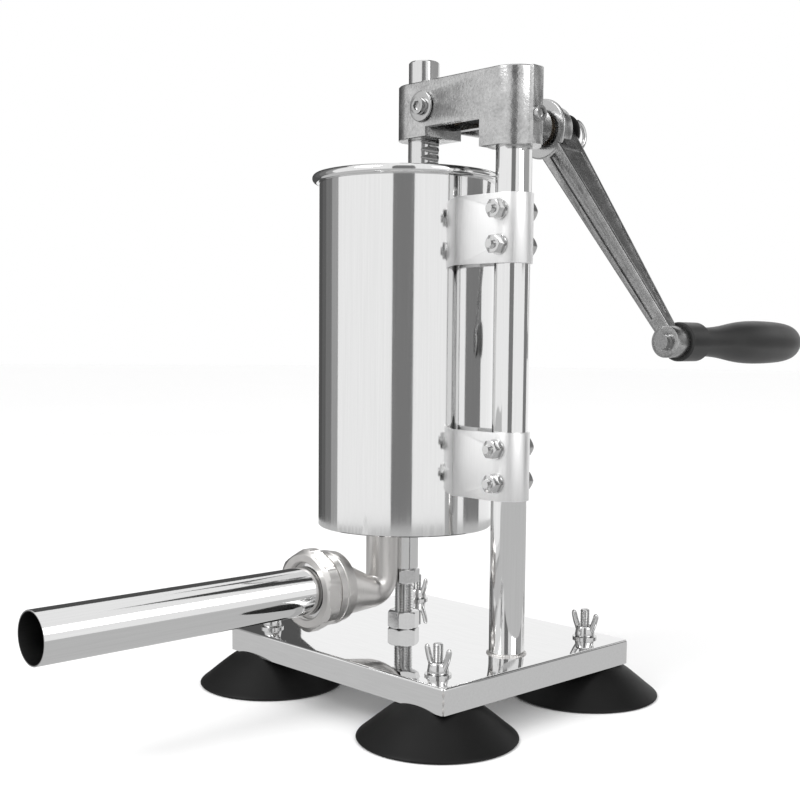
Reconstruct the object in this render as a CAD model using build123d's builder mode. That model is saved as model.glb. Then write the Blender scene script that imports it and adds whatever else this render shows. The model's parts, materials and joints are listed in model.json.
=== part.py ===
from build123d import *
from math import acos, cos, pi, radians, sin, tan
import os

os.makedirs("parts", exist_ok=True)

# Upright crank-driven sausage stuffer. All sizes are in millimetres.
# X runs from the tank to the column, the stuffing tube points to -Y and the crank is on the +Y side.
# The origin is the middle of the base plate, on the surface that the suction cups stand on.

# ---- Fits and gaps ----
running_fit = 0.05  # radial, pins and shafts in their bores
thread_gap = 0.1  # radial, plain cylinders that stand for threads
moving_gap = 0.4  # between pieces that pass each other without touching
weld_gap = 0.3  # between neighbouring pieces of one welded body
edge_break = 0.8  # chamfer on turned ends and rims
fine_break = 0.3  # chamfer on washers
socket_depth_share = 0.6  # depth of a hexagon socket over the height of its screw head
socket_af_share = 1.7  # width of a hexagon socket over the radius of its screw

# ---- Base plate and suction cups ----
plate_length = 192.0
plate_width = 164.0
plate_sheet = 1.5
plate_corner_r = 2.2
plate_bend_r = 1.4
skirt_depth = 15.0
skirt_seam = 0.5
plate_top = 35.0
cup_pitch_x = 150.0
cup_pitch_y = 130.0
cup_rim_r = 45.0
cup_rim_t = 1.4
cup_wall = 3.0
cup_neck_r = 10.0
cup_neck_rise = 1.5
cup_shoulder_gap = 1.0
stud_r = 3.0
stud_above_plate = 18.0
stud_in_cup = 9.0
washer_t = 1.2
washer_r = 7.5
wing_hub_r = 6.0
wing_hub_h = 6.5
wing_reach = 10.5
wing_height = 15.0
wing_t = 3.2
wing_hub_taper = 8.0
wing_tip_w = 1.5
wing_root_up = 1.0

# ---- Tank ----
tank_x = -21.0
tank_r = 55.0
tank_wall = 1.0
tank_floor_t = 1.2
tank_above_plate = 67.0
tank_height = 220.0
bead_r = 2.75
tank_foot_break = 0.6
boss_r = 9.0
boss_height = 28.5

# ---- Support bolt under the tank ----
support_r = 6.0
support_head_af = 18.0
support_head_h = 9.0
support_nut_h = 11.0
support_below_plate = 14.0

# ---- Outlet elbow, union nut and stuffing tube ----
leg_r = 10.0
elbow_wall = 1.5
elbow_bend_r = 10.6
bend_above_axis = 3.0
tube_axis_above_plate = 34.5
tube_r = 14.5
tube_wall = 1.0
tube_length = 180.0
collar_r = 21.5
collar_thread_r = 20.0
collar_ring_t = 4.0
nut_face_y = -82.5
nut_hex_depth = 10.5
nut_hex_af = 46.0
nut_corner_r = 25.0
nut_skirt_depth = 9.0
nut_skirt_r = 22.5
nut_lip_t = 3.0
nut_hole_r = 17.25
tube_flange_t = 2.0
gasket_t = 1.5

# ---- Column, clamp brackets ----
column_x = 67.5
column_r = 10.5
column_wall = 2.0
column_weld_h = 1.5
column_weld_r = 12.0
weld_bulge = 0.7  # where the bead's crown is, as a share of its legs
plug_depth = 8.0
bracket_sheet = 1.3
bracket_height = 40.0
bracket_bottoms = (126.5, 264.0)
bracket_bolt_r = 3.0
bracket_bolt_pitch = 20.0
bracket_bolt_up = 10.5
m6_af = 10.0
m6_nut_h = 5.0
m6_washer_r = 6.0
m6_washer_t = 1.2
m6_head_h = 4.0
bolt_end_out = 3.0

# ---- Head casting ----
head_top = 374.0
head_half_width = 15.5
head_edge_break = 0.6
head_roof = 5.0
head_wall = 5.0
bar_depth = 27.0
rod_block_depth = 32.5
rod_block_face = 17.0  # from the rod's axis to the block's column-side face
column_boss_depth = 43.5
column_boss_back = 13.2  # from the column's axis to the boss's tank-side face
rib_reach = 17.5
rib_half_width = 4.4
column_top_gap = 1.0
lock_screw_down = 26.7
lock_screw_r = 3.0
lock_head_r = 4.2
lock_head_h = 3.0

# ---- Rack rod, crank shaft and gearing ----
rod_x = -6.7
rod_r = 9.5
rod_above_head = 15.0
rod_plain_top = 12.0
rod_teeth_bottom = 134.0
gear_module = 1.5
pinion_teeth = 9
pressure_angle = radians(28)
tooth_backlash = 0.3
rack_flat = 8.7  # from the rod's axis to the tips of its teeth
rack_addendum = 1.45
rack_dedendum = 1.8
cut_over = 0.01  # how far a tooth cut starts outside its face
pinion_addendum = 1.3
pinion_dedendum = 1.75
pinion_width = 15.0
flank_steps = 6
tooth_foot_depth = 0.3  # how far a tooth reaches into the shaft's core
shaft_below_top = 15.0
shaft_r = 6.0
bush_r = 8.0
sleeve_r = 12.5
sleeve_wall = 3.5
sleeve_end_y = 91.0
far_bush_length = 14.0
end_washer_r = 9.0
end_washer_t = 1.5
end_screw_r = 3.0
end_screw_head_r = 5.0
end_screw_head_h = 3.0
end_screw_depth = 14.0

# ---- Crank and grip ----
crank_disc_r = 19.6
crank_disc_t = 3.0
hub_r = 16.0
hub_length = 10.5
arm_near_top = 97.5
arm_far_top = 118.0
arm_near_end = 108.0
arm_far_end = 121.0
arm_face_top = 89.0
arm_face_end = 112.5
arm_width_top = 17.0
arm_width_end = 10.5
disc_clearance = 1.0  # radial, from the crank disc to the arm round it
arm_reach = 167.0
arm_angle = 33.5  # from straight down towards +X, in degrees
end_hub_r = 10.0
channel_width = 5.0
channel_depth = 2.5
channel_from_hub = 6.0
channel_to_end = 8.0
arm_edge_r = 1.2
side_rim = 3.0
side_depth = 1.2
crank_washer_t = 2.0
crank_washer_r = 12.5
thumb_screw_r = 4.0
thumb_screw_depth = 12.0
bow_r = 9.5  # from the screw's axis to the middle of the bow's wire
bow_wire_r = 1.5
bow_flange_r = 11.5
bow_flange_t = 2.5
bow_straight = 9.0
axle_r = 4.0
axle_head_r = 5.0
axle_head_h = 4.5
grip_length = 138.0
grip_collar_r = 12.4
grip_collar_length = 21.0
grip_neck_r = 9.2
grip_belly_r = 14.5
grip_end_r = 9.5
grip_end_length = 2.0
grip_end_drop = 2.5
grip_dome_r = 13.5  # steers the curve from the belly to the end
grip_belly_share = 0.68  # where the belly is, along the grip
grip_shoulder = 2.0
grip_collar_break = 1.0
grip_nut_af = 12.0
grip_nut_h = 4.0

# ---- Piston ----
piston_floor_gap = 1.0
piston_thickness = 12.0
piston_wall_gap = 1.0
seal_width = 5.0
seal_depth = 4.0
piston_edge = 1.0
piston_recess = 0.5
piston_screw_r = 4.0
piston_screw_head_r = 6.5
piston_screw_head_h = 5.0
piston_screw_length = 25.0
screw_tip_gap = 1.0  # between a screw's tip and the bottom of its hole

# ---- Places worked out from the sizes above ----
plate_under = plate_top - plate_sheet
tank_bottom = plate_top + tank_above_plate
tank_floor = tank_bottom + tank_floor_t
tank_inner_r = tank_r - tank_wall
boss_bottom = tank_bottom - boss_height
tube_z = plate_top + tube_axis_above_plate
leg_y = -(support_head_af / 2 + weld_gap + leg_r)
pitch_r = gear_module * pinion_teeth / 2
shaft_x = rod_x + rack_flat - rack_addendum + pitch_r
shaft_z = head_top - shaft_below_top
bar_bottom = head_top - bar_depth
column_boss_bottom = head_top - column_boss_depth
column_top = head_top - column_top_gap
rod_top = head_top + rod_above_head
lock_z = head_top - lock_screw_down
piston_bottom = tank_floor + piston_floor_gap
rod_bottom = piston_bottom + piston_thickness
piston_r = tank_inner_r - piston_wall_gap
cup_spots = [(x * cup_pitch_x / 2, y * cup_pitch_y / 2) for x in (-1, 1) for y in (-1, 1)]
bolt_heights = [z + bracket_bolt_up + n * bracket_bolt_pitch for z in bracket_bottoms for n in (0, 1)]
grip_x = shaft_x + arm_reach * sin(radians(arm_angle))
grip_z = shaft_z - arm_reach * cos(radians(arm_angle))
grip_start = arm_far_end + moving_gap


def y_plane(y):
    """A sketch plane facing +Y whose local axes are -X and Z of the world."""
    return Plane(origin=(0, y, 0), x_dir=(-1, 0, 0), z_dir=(0, 1, 0))


def save(made, label):
    """Label a finished piece and write it as its own STEP file."""
    made.part.label = label
    export_step(made.part, f"parts/{label}.step")


# ================= Base =================

cup_top = plate_under
shoulder_r = min((plate_length - cup_pitch_x) / 2, (plate_width - cup_pitch_y) / 2) - plate_sheet
shoulder_z = plate_top - skirt_depth - cup_shoulder_gap

with BuildPart() as base_plate:
    with BuildSketch(Plane.XY.offset(plate_top - skirt_depth)):
        RectangleRounded(plate_length, plate_width, plate_corner_r)
    extrude(amount=skirt_depth)
    fillet(base_plate.edges().group_by(Axis.Z)[-1], plate_bend_r)
    with BuildSketch(Plane.XY.offset(plate_top - skirt_depth)):
        inner_r = plate_corner_r - plate_sheet
        RectangleRounded(plate_length - 2 * plate_sheet, plate_width - 2 * plate_sheet, inner_r)
    extrude(amount=skirt_depth - plate_sheet, mode=Mode.SUBTRACT)
    # The folded skirts leave an open seam at the corner below the near wing nut.
    with BuildSketch(Plane.XY.offset(plate_top - skirt_depth)):
        with Locations((plate_length / 2, -plate_width / 2)):
            Rectangle(4 * plate_corner_r, skirt_seam, rotation=-45)
    extrude(amount=skirt_depth - 2 * plate_sheet, mode=Mode.SUBTRACT)
    with Locations(*[(x, y, plate_top) for x, y in cup_spots]):
        Hole(stud_r + thread_gap)
    with Locations((tank_x, 0, plate_top)):
        Hole(support_r + thread_gap)
save(base_plate, "base_plate")

for place, (x, y) in zip(("left_front", "left_back", "right_front", "right_back"), cup_spots):
    with BuildPart() as suction_cup:
        with BuildSketch(Plane(origin=(x, y, 0), x_dir=(1, 0, 0), z_dir=(0, -1, 0))):
            with BuildLine():
                Polyline(
                    (cup_rim_r - 2 * cup_rim_t, 0),
                    (cup_rim_r, 0),
                    (cup_rim_r, cup_rim_t),
                    (shoulder_r, shoulder_z),
                    (cup_neck_r, shoulder_z + cup_neck_rise),
                    (cup_neck_r, cup_top),
                    (0, cup_top),
                    (0, shoulder_z - cup_wall),
                    (shoulder_r - cup_wall, shoulder_z - cup_wall),
                    (cup_rim_r - 2 * cup_rim_t, 0),
                )
            make_face()
        revolve(axis=Axis((x, y, 0), (0, 0, 1)))
        with BuildSketch(Plane(origin=(x, y, cup_top))):
            Circle(stud_r)
        extrude(amount=-stud_in_cup, mode=Mode.SUBTRACT)
    save(suction_cup, f"suction_cup_{place}")

with BuildPart() as cup_studs:
    with BuildSketch(Plane.XY.offset(cup_top - stud_in_cup)):
        with Locations(*cup_spots):
            Circle(stud_r)
    extrude(amount=stud_in_cup + plate_sheet + stud_above_plate)
    chamfer(cup_studs.edges().filter_by(GeomType.CIRCLE).group_by(Axis.Z)[-1], stud_r / 6)
save(cup_studs, "cup_studs")

with BuildPart() as stud_washers:
    with BuildSketch(Plane.XY.offset(plate_top)):
        with Locations(*cup_spots):
            Circle(washer_r)
            Circle(stud_r + thread_gap, mode=Mode.SUBTRACT)
    extrude(amount=washer_t)
save(stud_washers, "stud_washers")

wing_base = plate_top + washer_t + moving_gap / 4
for place, (x, y) in zip(("left_front", "left_back", "right_front", "right_back"), cup_spots):
    with BuildPart() as wing_nut:
        with BuildSketch(Plane(origin=(x, y, wing_base))):
            Circle(wing_hub_r)
        extrude(amount=wing_hub_h, taper=wing_hub_taper)
        # Two round-ended wings splay up and out from the hub.
        with BuildSketch(Plane(origin=(x, y, wing_base), x_dir=(1, 0, 0), z_dir=(0, -1, 0))):
            for side in (-1, 1):
                with BuildLine():
                    Polyline(
                        (side * stud_r, wing_root_up),
                        (side * wing_reach, wing_height - wing_tip_w),
                        (side * (wing_reach - 2 * wing_tip_w), wing_height),
                        (side * (stud_r + wing_tip_w), wing_hub_h),
                        (side * stud_r, wing_hub_h - wing_root_up),
                        (side * stud_r, wing_root_up),
                    )
                make_face()
        extrude(amount=wing_t / 2, both=True)
        with BuildSketch(Plane(origin=(x, y, wing_base))):
            Circle(stud_r + running_fit)
        extrude(amount=wing_height, mode=Mode.SUBTRACT)
    save(wing_nut, f"wing_nut_{place}")

# ================= Column =================

with BuildPart() as column_tube:
    with BuildSketch(Plane(origin=(column_x, 0, plate_top))):
        Circle(column_r)
        Circle(column_r - column_wall, mode=Mode.SUBTRACT)
    extrude(amount=column_top - plate_top)
    for height in bolt_heights:
        with BuildSketch(y_plane(0)):
            with Locations((-column_x, height)):
                Circle(bracket_bolt_r + thread_gap)
        extrude(amount=2 * column_r, both=True, mode=Mode.SUBTRACT)
save(column_tube, "column_tube")

with BuildPart() as column_weld:
    with BuildSketch(Plane(origin=(column_x, 0, plate_top), x_dir=(1, 0, 0), z_dir=(0, -1, 0))):
        with BuildLine():
            Line((column_r, 0), (column_weld_r, 0))
            ThreePointArc(
                (column_weld_r, 0),
                (column_r + weld_bulge * (column_weld_r - column_r), weld_bulge * column_weld_h),
                (column_r, column_weld_h),
            )
            Line((column_r, column_weld_h), (column_r, 0))
        make_face()
    revolve(axis=Axis((column_x, 0, 0), (0, 0, 1)))
save(column_weld, "column_weld")

with BuildPart() as column_plug:
    with BuildSketch(Plane(origin=(column_x, 0, column_top - plug_depth))):
        Circle(column_r - column_wall)
    extrude(amount=plug_depth)
    chamfer(column_plug.edges().group_by(Axis.Z)[-1], edge_break)
save(column_plug, "column_plug")

# ================= Tank =================

with BuildPart() as tank_shell:
    with BuildSketch(Plane(origin=(tank_x, 0, tank_bottom), x_dir=(1, 0, 0), z_dir=(0, -1, 0))):
        with BuildLine():
            Polyline(
                (tank_inner_r, 0),
                (tank_r - tank_foot_break, 0),
                (tank_r, tank_foot_break),
                (tank_r, tank_height - bead_r),
                (tank_inner_r, tank_height - bead_r),
                (tank_inner_r, 0),
            )
        make_face()
        with Locations((tank_inner_r + bead_r, tank_height - bead_r)):
            Circle(bead_r)
    revolve(axis=Axis((tank_x, 0, 0), (0, 0, 1)))
save(tank_shell, "tank_shell")

with BuildPart() as tank_floor_disc:
    with BuildSketch(Plane(origin=(tank_x, 0, tank_bottom))):
        Circle(tank_inner_r)
        with Locations((0, leg_y)):
            Circle(leg_r - elbow_wall, mode=Mode.SUBTRACT)
    extrude(amount=tank_floor_t)
save(tank_floor_disc, "tank_floor")

with BuildPart() as tank_boss:
    with BuildSketch(Plane(origin=(tank_x, 0, boss_bottom))):
        Circle(boss_r)
    extrude(amount=boss_height)
    chamfer(tank_boss.edges().group_by(Axis.Z)[0], edge_break)
save(tank_boss, "tank_boss")

with BuildPart() as support_bolt:
    with BuildSketch(Plane(origin=(tank_x, 0, boss_bottom - support_head_h))):
        RegularPolygon(support_head_af / 2, 6, major_radius=False)
    extrude(amount=support_head_h)
    with BuildSketch(Plane(origin=(tank_x, 0, plate_under - support_below_plate))):
        Circle(support_r)
    extrude(amount=boss_bottom - support_head_h - plate_under + support_below_plate)
save(support_bolt, "support_bolt")

with BuildPart() as support_nuts:
    for start in (plate_top, plate_under - support_nut_h):
        with BuildSketch(Plane(origin=(tank_x, 0, start))):
            RegularPolygon(support_head_af / 2, 6, major_radius=False)
            Circle(support_r, mode=Mode.SUBTRACT)
        extrude(amount=support_nut_h)
save(support_nuts, "support_nuts")

# ================= Outlet =================

bend_top = tube_z + bend_above_axis
ring_y = nut_face_y + nut_hex_depth + nut_skirt_depth + moving_gap
cone_start = leg_y - elbow_bend_r
low_z = bend_top - elbow_bend_r
lip_y = nut_face_y + nut_lip_t
flange_back = lip_y + moving_gap / 2
seat_y = flange_back + tube_flange_t + gasket_t + moving_gap / 4
collar_thread_length = ring_y - seat_y


with BuildPart() as outlet_leg:
    with BuildSketch(Plane(origin=(tank_x, leg_y, bend_top))):
        Circle(leg_r)
        Circle(leg_r - elbow_wall, mode=Mode.SUBTRACT)
    extrude(amount=tank_bottom - bend_top)
save(outlet_leg, "outlet_leg")


def elbow_solid(leg, wide):
    """The tight bend below the leg and the flare, as one run of the given radii."""
    with BuildSketch(Plane(origin=(tank_x, leg_y, bend_top))) as leg_end:
        Circle(leg)
    revolve(leg_end.sketch, Axis((tank_x, cone_start, bend_top), (-1, 0, 0)), revolution_arc=90)
    with BuildSketch(Plane(origin=(tank_x, cone_start, low_z), x_dir=(1, 0, 0), z_dir=(0, -1, 0))) as small:
        Circle(leg)
    with BuildSketch(Plane(origin=(tank_x, ring_y, tube_z), x_dir=(1, 0, 0), z_dir=(0, -1, 0))) as large:
        Circle(wide)
    loft([small.sketch, large.sketch])


with BuildPart() as elbow_bore:
    elbow_solid(leg_r - elbow_wall, collar_thread_r - 2 * elbow_wall)

with BuildPart() as outlet_elbow:
    elbow_solid(leg_r, collar_thread_r - elbow_wall / 2)
    for start, radius, length in (
        (ring_y + collar_ring_t, collar_r, collar_ring_t),
        (ring_y, collar_thread_r, collar_thread_length),
    ):
        with BuildSketch(Plane(origin=(tank_x, start, tube_z), x_dir=(1, 0, 0), z_dir=(0, -1, 0))):
            Circle(radius)
        extrude(amount=length)
    with BuildSketch(Plane(origin=(tank_x, ring_y, tube_z), x_dir=(1, 0, 0), z_dir=(0, -1, 0))):
        Circle(collar_thread_r - 2 * elbow_wall)
    extrude(amount=collar_thread_length, mode=Mode.SUBTRACT)
    add(elbow_bore.part, mode=Mode.SUBTRACT)
save(outlet_elbow, "outlet_elbow")


def ring_y_facing(start, length, outer, inner):
    """A plain ring around the stuffing tube's axis, from start towards -Y."""
    with BuildSketch(Plane(origin=(tank_x, start, tube_z), x_dir=(1, 0, 0), z_dir=(0, -1, 0))) as band:
        Circle(outer)
        Circle(inner, mode=Mode.SUBTRACT)
    extrude(band.sketch, amount=length)


flange_r = collar_thread_r - 1.0
with BuildPart() as stuffing_tube:
    ring_y_facing(flange_back + tube_flange_t, tube_length, tube_r, tube_r - tube_wall)
    ring_y_facing(flange_back + tube_flange_t, tube_flange_t, flange_r, tube_r - tube_wall)
save(stuffing_tube, "stuffing_tube")

with BuildPart() as tube_gasket:
    ring_y_facing(seat_y - moving_gap / 4, gasket_t, flange_r, tube_r - tube_wall)
save(tube_gasket, "tube_gasket")

with BuildPart() as union_nut:
    with BuildSketch(Plane(origin=(tank_x, nut_face_y, tube_z), x_dir=(1, 0, 0), z_dir=(0, 1, 0))):
        RegularPolygon(nut_hex_af / 2, 6, major_radius=False, rotation=30)
        Circle(nut_corner_r, mode=Mode.INTERSECT)
    extrude(amount=nut_hex_depth)
    ring_y_facing(nut_face_y + nut_hex_depth + nut_skirt_depth, nut_skirt_depth, nut_skirt_r, nut_hole_r)
    bore_start = nut_face_y + nut_hex_depth + nut_skirt_depth
    with BuildSketch(Plane(origin=(tank_x, bore_start, tube_z), x_dir=(1, 0, 0), z_dir=(0, -1, 0))):
        Circle(collar_thread_r + running_fit)
    extrude(amount=bore_start - lip_y, mode=Mode.SUBTRACT)
    with BuildSketch(Plane(origin=(tank_x, lip_y, tube_z), x_dir=(1, 0, 0), z_dir=(0, -1, 0))):
        Circle(nut_hole_r)
    extrude(amount=nut_lip_t, mode=Mode.SUBTRACT)
save(union_nut, "union_nut")

# ================= Clamp brackets =================

strap_r = column_r + bracket_sheet
for name, bottom in zip(("lower", "upper"), bracket_bottoms):
    with BuildPart() as bracket:
        with BuildSketch(Plane.XY.offset(bottom)):
            with Locations((column_x, 0)):
                Circle(strap_r)
            with Locations(((column_x + tank_x) / 2, 0)):
                Rectangle(column_x - tank_x, 2 * strap_r)
            with Locations((column_x, 0)):
                Circle(column_r, mode=Mode.SUBTRACT)
            with Locations(((column_x + tank_x) / 2, 0)):
                Rectangle(column_x - tank_x, 2 * column_r, mode=Mode.SUBTRACT)
            with Locations((tank_x, 0)):
                Circle(tank_r, mode=Mode.SUBTRACT)
        extrude(amount=bracket_height)
        for n in (0, 1):
            with BuildSketch(y_plane(0)):
                with Locations((-column_x, bottom + bracket_bolt_up + n * bracket_bolt_pitch)):
                    Circle(bracket_bolt_r + thread_gap)
            extrude(amount=2 * strap_r, both=True, mode=Mode.SUBTRACT)
    save(bracket, f"bracket_{name}")

with BuildPart() as bracket_bolts:
    for height in bolt_heights:
        with BuildSketch(y_plane(strap_r)):
            with Locations((-column_x, height)):
                RegularPolygon(m6_af / 2, 6, major_radius=False)
        extrude(amount=m6_head_h)
        with BuildSketch(y_plane(strap_r)):
            with Locations((-column_x, height)):
                Circle(bracket_bolt_r)
        extrude(amount=-(2 * strap_r + m6_washer_t + m6_nut_h + bolt_end_out))
save(bracket_bolts, "bracket_bolts")

with BuildPart() as bracket_washers:
    for height in bolt_heights:
        with BuildSketch(y_plane(-strap_r)):
            with Locations((-column_x, height)):
                Circle(m6_washer_r)
                Circle(bracket_bolt_r + thread_gap, mode=Mode.SUBTRACT)
        extrude(amount=-m6_washer_t)
save(bracket_washers, "bracket_washers")

with BuildPart() as bracket_nuts:
    for height in bolt_heights:
        with BuildSketch(y_plane(-strap_r - m6_washer_t)):
            with Locations((-column_x, height)):
                RegularPolygon(m6_af / 2, 6, major_radius=False)
                Circle(bracket_bolt_r, mode=Mode.SUBTRACT)
        extrude(amount=-m6_nut_h)
save(bracket_nuts, "bracket_nuts")

# ================= Head casting =================

boss_back_x = column_x - column_boss_back
block_face_x = rod_x + rod_block_face
pinion_tip_r = pitch_r + pinion_addendum
chamber_r = pinion_tip_r + 2 * moving_gap
channel_half = head_half_width - head_wall

with BuildPart() as head_casting:
    # The bar, its round rod end and the deeper block around the rod.
    for depth, reach in ((bar_depth, column_x), (rod_block_depth, block_face_x)):
        with BuildSketch(Plane.XY.offset(head_top - depth)):
            with Locations((rod_x, 0)):
                Circle(head_half_width)
            with Locations(((rod_x + reach) / 2, 0)):
                Rectangle(reach - rod_x, 2 * head_half_width)
        extrude(amount=depth)
    # The column boss with the rib that takes its locking screw.
    with BuildSketch(Plane.XY.offset(column_boss_bottom)):
        with Locations((column_x, 0)):
            Circle(head_half_width)
        with Locations(((boss_back_x + column_x) / 2, 0)):
            Rectangle(column_x - boss_back_x, 2 * head_half_width)
        with Locations((column_x + rib_reach / 2, 0)):
            Rectangle(rib_reach, 2 * rib_half_width)
    extrude(amount=column_boss_depth)
    chamfer(head_casting.edges().group_by(Axis.Z)[-1], head_edge_break)
    # The channel under the bar, with the pinion's chamber at its rod end.
    with BuildSketch(Plane.XY.offset(bar_bottom)):
        with Locations(((block_face_x + boss_back_x) / 2, 0)):
            Rectangle(boss_back_x - block_face_x, 2 * channel_half)
    extrude(amount=bar_depth - head_roof, mode=Mode.SUBTRACT)
    with BuildSketch(y_plane(0)):
        with Locations((-shaft_x, shaft_z)):
            Circle(chamber_r)
    extrude(amount=pinion_width / 2 + moving_gap, both=True, mode=Mode.SUBTRACT)
    with BuildSketch(Plane.XY.offset(shaft_z - chamber_r)):
        with Locations(((shaft_x + block_face_x) / 2, 0)):
            Rectangle(block_face_x - shaft_x, pinion_width + 2 * moving_gap)
    extrude(amount=2 * chamber_r, mode=Mode.SUBTRACT)
    # Bores for the rod, the column, the shaft bushes and the locking screw.
    with BuildSketch(Plane.XY.offset(column_boss_bottom)):
        with Locations((rod_x, 0)):
            Circle(rod_r + running_fit)
        with Locations((column_x, 0)):
            Circle(column_r)
    extrude(amount=column_boss_depth, mode=Mode.SUBTRACT)
    with BuildSketch(y_plane(-head_half_width)):
        with Locations((-shaft_x, shaft_z)):
            Circle(bush_r)
    extrude(amount=2 * head_half_width, mode=Mode.SUBTRACT)
    with BuildSketch(Plane(origin=(column_x, 0, lock_z), x_dir=(0, 1, 0), z_dir=(1, 0, 0))):
        Circle(lock_screw_r + thread_gap)
    extrude(amount=rib_reach, mode=Mode.SUBTRACT)
save(head_casting, "head_casting")

bush_length = head_half_width - pinion_width / 2 - moving_gap
with BuildPart() as shaft_bush_front:
    with BuildSketch(y_plane(-head_half_width)):
        with Locations((-shaft_x, shaft_z)):
            Circle(bush_r)
            Circle(shaft_r + running_fit, mode=Mode.SUBTRACT)
    extrude(amount=bush_length)
save(shaft_bush_front, "shaft_bush_front")

with BuildPart() as shaft_bush_back:
    with BuildSketch(y_plane(head_half_width)):
        with Locations((-shaft_x, shaft_z)):
            Circle(bush_r)
            Circle(shaft_r + running_fit, mode=Mode.SUBTRACT)
    extrude(amount=-bush_length)
save(shaft_bush_back, "shaft_bush_back")

with BuildPart() as shaft_sleeve:
    with BuildSketch(y_plane(head_half_width)):
        with Locations((-shaft_x, shaft_z)):
            Circle(sleeve_r)
            Circle(sleeve_r - sleeve_wall, mode=Mode.SUBTRACT)
    extrude(amount=sleeve_end_y - head_half_width)
save(shaft_sleeve, "shaft_sleeve")

with BuildPart() as sleeve_bush:
    with BuildSketch(y_plane(sleeve_end_y)):
        with Locations((-shaft_x, shaft_z)):
            Circle(sleeve_r - sleeve_wall)
            Circle(shaft_r + running_fit, mode=Mode.SUBTRACT)
    extrude(amount=-far_bush_length)
save(sleeve_bush, "sleeve_bush")

rib_end_x = column_x + rib_reach
with BuildPart() as lock_screw:
    with BuildSketch(Plane(origin=(column_x + column_r, 0, lock_z), x_dir=(0, 1, 0), z_dir=(1, 0, 0))):
        Circle(lock_screw_r)
    extrude(amount=rib_reach - column_r)
    with BuildSketch(Plane(origin=(rib_end_x, 0, lock_z), x_dir=(0, 1, 0), z_dir=(1, 0, 0))):
        Circle(lock_head_r)
    extrude(amount=lock_head_h)
    with BuildSketch(Plane(origin=(rib_end_x + lock_head_h, 0, lock_z), x_dir=(0, 1, 0), z_dir=(1, 0, 0))):
        RegularPolygon(lock_screw_r * socket_af_share / 2, 6, major_radius=False)
    extrude(amount=-lock_head_h * socket_depth_share, mode=Mode.SUBTRACT)
save(lock_screw, "lock_screw")

# ================= Rack rod and piston =================

tooth_pitch = pi * gear_module
gap_at_pitch = tooth_pitch / 2 + tooth_backlash / 2
gap_bottom = gap_at_pitch - 2 * rack_dedendum * tan(pressure_angle)
gap_mouth = gap_at_pitch + 2 * (rack_addendum + cut_over) * tan(pressure_angle)
rack_root = rack_flat - rack_addendum - rack_dedendum
first_gap = -int((shaft_z - rod_teeth_bottom) / tooth_pitch)
last_gap = int((rod_top - rod_plain_top - shaft_z) / tooth_pitch)
gap_heights = [shaft_z + n * tooth_pitch for n in range(first_gap, last_gap + 1)]

with BuildPart() as rack_rod:
    with BuildSketch(Plane(origin=(rod_x, 0, rod_bottom))):
        Circle(rod_r)
    extrude(amount=rod_top - rod_bottom)
    chamfer(rack_rod.edges().group_by(Axis.Z)[-1], edge_break)
    # One flat along the toothed length, up to the rod's top.
    flat_bottom = gap_heights[0] - tooth_pitch
    with BuildSketch(Plane(origin=(rod_x, 0, flat_bottom))):
        with Locations((rack_flat + rod_r, 0)):
            Rectangle(2 * rod_r, 4 * rod_r)
    extrude(amount=rod_top - flat_bottom, mode=Mode.SUBTRACT)
    with BuildSketch(Plane(origin=(rod_x, 0, 0), x_dir=(1, 0, 0), z_dir=(0, -1, 0))):
        for height in gap_heights:
            with BuildLine():
                Polyline(
                    (rack_root, height - gap_bottom / 2),
                    (rack_flat + cut_over, height - gap_mouth / 2),
                    (rack_flat + cut_over, height + gap_mouth / 2),
                    (rack_root, height + gap_bottom / 2),
                    (rack_root, height - gap_bottom / 2),
                )
            make_face()
    extrude(amount=rod_r, both=True, mode=Mode.SUBTRACT)
    with BuildSketch(Plane(origin=(rod_x, 0, rod_bottom))):
        Circle(piston_screw_r)
    extrude(amount=piston_screw_length, mode=Mode.SUBTRACT)
save(rack_rod, "rack_rod")

seal_bottom = piston_bottom + (piston_thickness - seal_width) / 2
with BuildPart() as piston_disc:
    with BuildSketch(Plane(origin=(tank_x, 0, piston_bottom))):
        Circle(piston_r)
    extrude(amount=piston_thickness)
    chamfer(piston_disc.edges().filter_by(GeomType.CIRCLE), piston_edge)
    with BuildSketch(Plane(origin=(tank_x, 0, seal_bottom))):
        Circle(tank_inner_r)
        Circle(piston_r - seal_depth, mode=Mode.SUBTRACT)
    extrude(amount=seal_width, mode=Mode.SUBTRACT)
    for radius, height in (
        (piston_screw_r + thread_gap, piston_thickness),
        (piston_screw_head_r + thread_gap, piston_screw_head_h + piston_recess),
    ):
        with BuildSketch(Plane(origin=(rod_x, 0, piston_bottom))):
            Circle(radius)
        extrude(amount=height, mode=Mode.SUBTRACT)
save(piston_disc, "piston_disc")

with BuildPart() as piston_seal:
    with BuildSketch(Plane(origin=(tank_x, 0, seal_bottom))):
        Circle(tank_inner_r - moving_gap)
        Circle(piston_r - seal_depth, mode=Mode.SUBTRACT)
    extrude(amount=seal_width)
    chamfer(piston_seal.edges().filter_by(GeomType.CIRCLE).sort_by(SortBy.RADIUS)[-2:], edge_break)
save(piston_seal, "piston_seal")

screw_under = piston_bottom + piston_recess
screw_seat = screw_under + piston_screw_head_h
with BuildPart() as piston_screw:
    with BuildSketch(Plane(origin=(rod_x, 0, screw_under))):
        Circle(piston_screw_head_r)
    extrude(amount=piston_screw_head_h)
    with BuildSketch(Plane(origin=(rod_x, 0, screw_seat))):
        Circle(piston_screw_r)
    extrude(amount=rod_bottom + piston_screw_length - screw_tip_gap - screw_seat)
    with BuildSketch(Plane(origin=(rod_x, 0, screw_under))):
        RegularPolygon(piston_screw_r * socket_af_share / 2, 6, major_radius=False)
    extrude(amount=piston_screw_head_h * socket_depth_share, mode=Mode.SUBTRACT)
save(piston_screw, "piston_screw")

# ================= Crank shaft =================

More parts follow.
